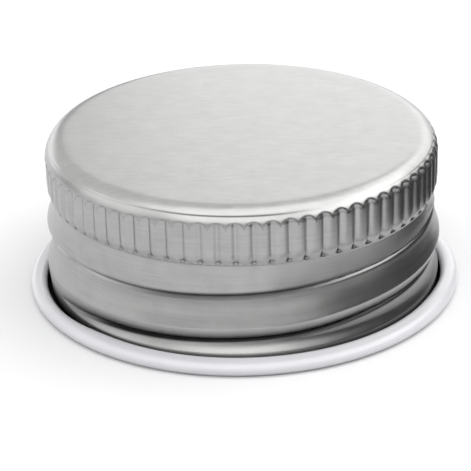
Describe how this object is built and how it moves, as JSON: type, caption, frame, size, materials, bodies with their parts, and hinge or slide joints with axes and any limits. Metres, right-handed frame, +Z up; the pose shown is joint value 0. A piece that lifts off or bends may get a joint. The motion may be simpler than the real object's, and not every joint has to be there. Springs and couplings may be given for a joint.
{
  "type": "screw cap",
  "caption": "Round aluminium screw cap with a fluted grip, a rolled thread, an outward-rolled white rim and a soft sealing disc inside the top.",
  "frame": {"origin": "centre of the circle that the rolled rim stands on", "axes": "+Z up along the cap's axis, from the open mouth to the closed top"},
  "size_m": [0.0434, 0.0434, 0.0162],
  "materials": {
    "aluminium_sheet": "brushed",
    "sealing_foam": "matte"
  },
  "bodies": {
    "root": {"cap_shell": "aluminium_sheet", "sealing_disc": "sealing_foam"}
  },
  "joints": []
}
